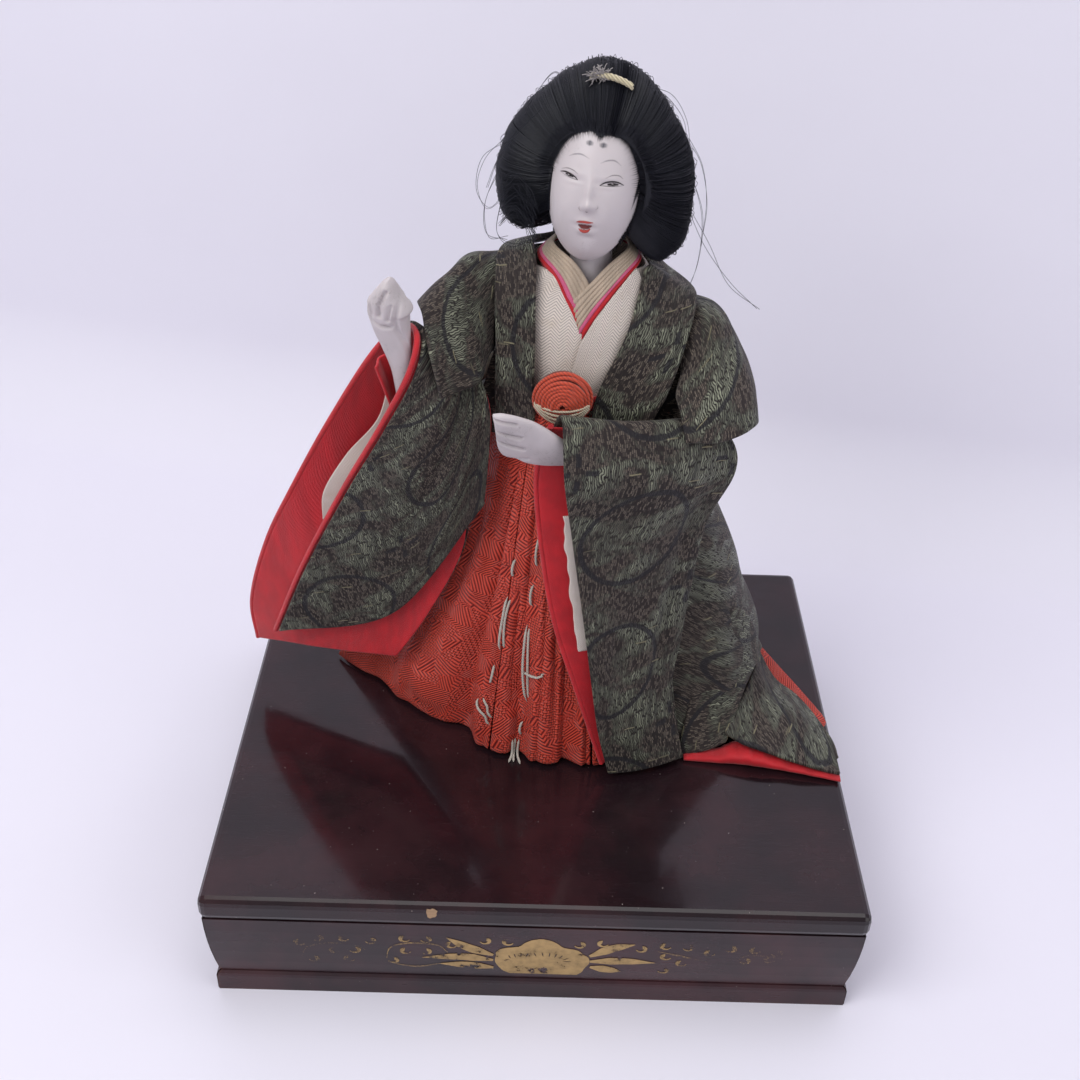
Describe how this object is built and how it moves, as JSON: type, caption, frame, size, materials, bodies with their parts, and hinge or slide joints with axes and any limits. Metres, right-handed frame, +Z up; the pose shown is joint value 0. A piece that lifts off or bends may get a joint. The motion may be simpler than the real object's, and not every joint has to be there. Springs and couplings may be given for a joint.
{
  "type": "dressed festival doll on stand",
  "caption": "Seated court-lady doll in layered silk robes and pleated trousers, one hand raised, on a low lacquered display stand.",
  "frame": {"origin": "centre of the stand's footprint, at the level of its underside", "axes": "+X to the doll's left and the viewer's right, +Y away from the viewer, +Z up"},
  "size_m": [0.18, 0.1528, 0.2331],
  "materials": {
    "lacquer": "polished black lacquer",
    "satin_lacquer": "satin black lacquer with gold powder drawing",
    "bare_wood": "sawn",
    "straw": "bound straw",
    "paper": "matt",
    "steel_wire": "drawn wire",
    "gofun": "burnished shell white",
    "silk_hair": "combed silk fibre",
    "cream_silk": "aged silk",
    "cream_collar": "aged silk",
    "pink_silk": "silk",
    "red_silk": "silk",
    "orange_red_silk": "silk with weft floats",
    "knot_red": "wound silk cord",
    "cream_cord": "twisted cord",
    "brocade": "figured brocade"
  },
  "bodies": {
    "stand": {"top_board": "lacquer", "body_front": "satin_lacquer", "body_right": "satin_lacquer", "body_back": "satin_lacquer", "body_left": "satin_lacquer", "plinth_front": "satin_lacquer", "plinth_right": "satin_lacquer", "plinth_back": "satin_lacquer", "plinth_left": "satin_lacquer", "peg_block": "bare_wood"},
    "doll": {"base_board": "bare_wood", "stand_peg": "bare_wood", "straw_body": "straw", "leg_padding": "paper", "right_arm_padding": "paper", "left_arm_padding": "paper", "right_arm_wire": "steel_wire", "left_arm_wire": "steel_wire", "kosode": "cream_silk", "collar_red": "red_silk", "collar_pink": "pink_silk", "collar_cream_1": "cream_collar", "collar_cream_2": "cream_collar", "collar_cream_3": "cream_collar", "collar_cream_4": "cream_collar", "collar_cream_5": "cream_collar", "hakama_right_leg": "orange_red_silk", "hakama_front_panel": "orange_red_silk", "hakama_left_leg": "orange_red_silk", "hakama_back": "orange_red_silk", "hakama_trail": "orange_red_silk", "hakama_waistband": "red_silk", "waist_knot": "knot_red", "knot_cord": "cream_cord", "basting_thread_1": "cream_cord", "basting_thread_2": "cream_cord", "robe_back": "brocade", "robe_collar": "brocade", "robe_right_shoulder": "brocade", "robe_left_shoulder": "brocade", "robe_tail": "brocade", "robe_tail_lining": "red_silk", "right_sleeve": "brocade", "right_sleeve_lining": "red_silk", "left_sleeve": "brocade", "left_sleeve_lining": "red_silk", "right_inner_sleeve": "cream_silk", "left_inner_sleeve": "cream_silk", "right_under_sleeve": "red_silk"},
    "neck": {"neck_stick": "bare_wood"},
    "head": {"head": "gofun", "hair_right_wing": "silk_hair", "hair_crown": "silk_hair", "hair_left_wing": "silk_hair", "hair_tail": "silk_hair", "hair_tie": "cream_cord"},
    "right_wrist": {"right_hand_wire": "steel_wire"},
    "right_hand": {"right_hand": "gofun"},
    "left_wrist": {"left_hand_wire": "steel_wire"},
    "left_hand": {"left_hand": "gofun"}
  },
  "joints": [
    {"name": "doll_lift", "type": "slide", "parent": "stand", "child": "doll", "axis": [0, 0, 1], "range_m": [0, 0.02]},
    {"name": "head_pull", "type": "slide", "parent": "doll", "child": "neck", "axis": [0, 0, 1], "range_m": [0, 0.022]},
    {"name": "head_turn", "type": "hinge", "parent": "neck", "child": "head", "pos_m": [0.0093, 0.0156, 0.1751], "axis": [0, 0, 1], "range_deg": [-15, 15]},
    {"name": "right_hand_pull", "type": "slide", "parent": "doll", "child": "right_wrist", "axis": [-0.1029, -0.1559, 0.9824], "range_m": [0, 0.009]},
    {"name": "right_hand_turn", "type": "hinge", "parent": "right_wrist", "child": "right_hand", "pos_m": [-0.0373, -0.0013, 0.1471], "axis": [-0.1029, -0.1559, 0.9824], "range_deg": [-30, 30]},
    {"name": "left_hand_pull", "type": "slide", "parent": "doll", "child": "left_wrist", "axis": [-0.841, -0.2617, 0.4735], "range_m": [0, 0.009]},
    {"name": "left_hand_turn", "type": "hinge", "parent": "left_wrist", "child": "left_hand", "pos_m": [0.006, -0.0146, 0.1429], "axis": [-0.841, -0.2617, 0.4735], "range_deg": [-5, 15]}
  ]
}
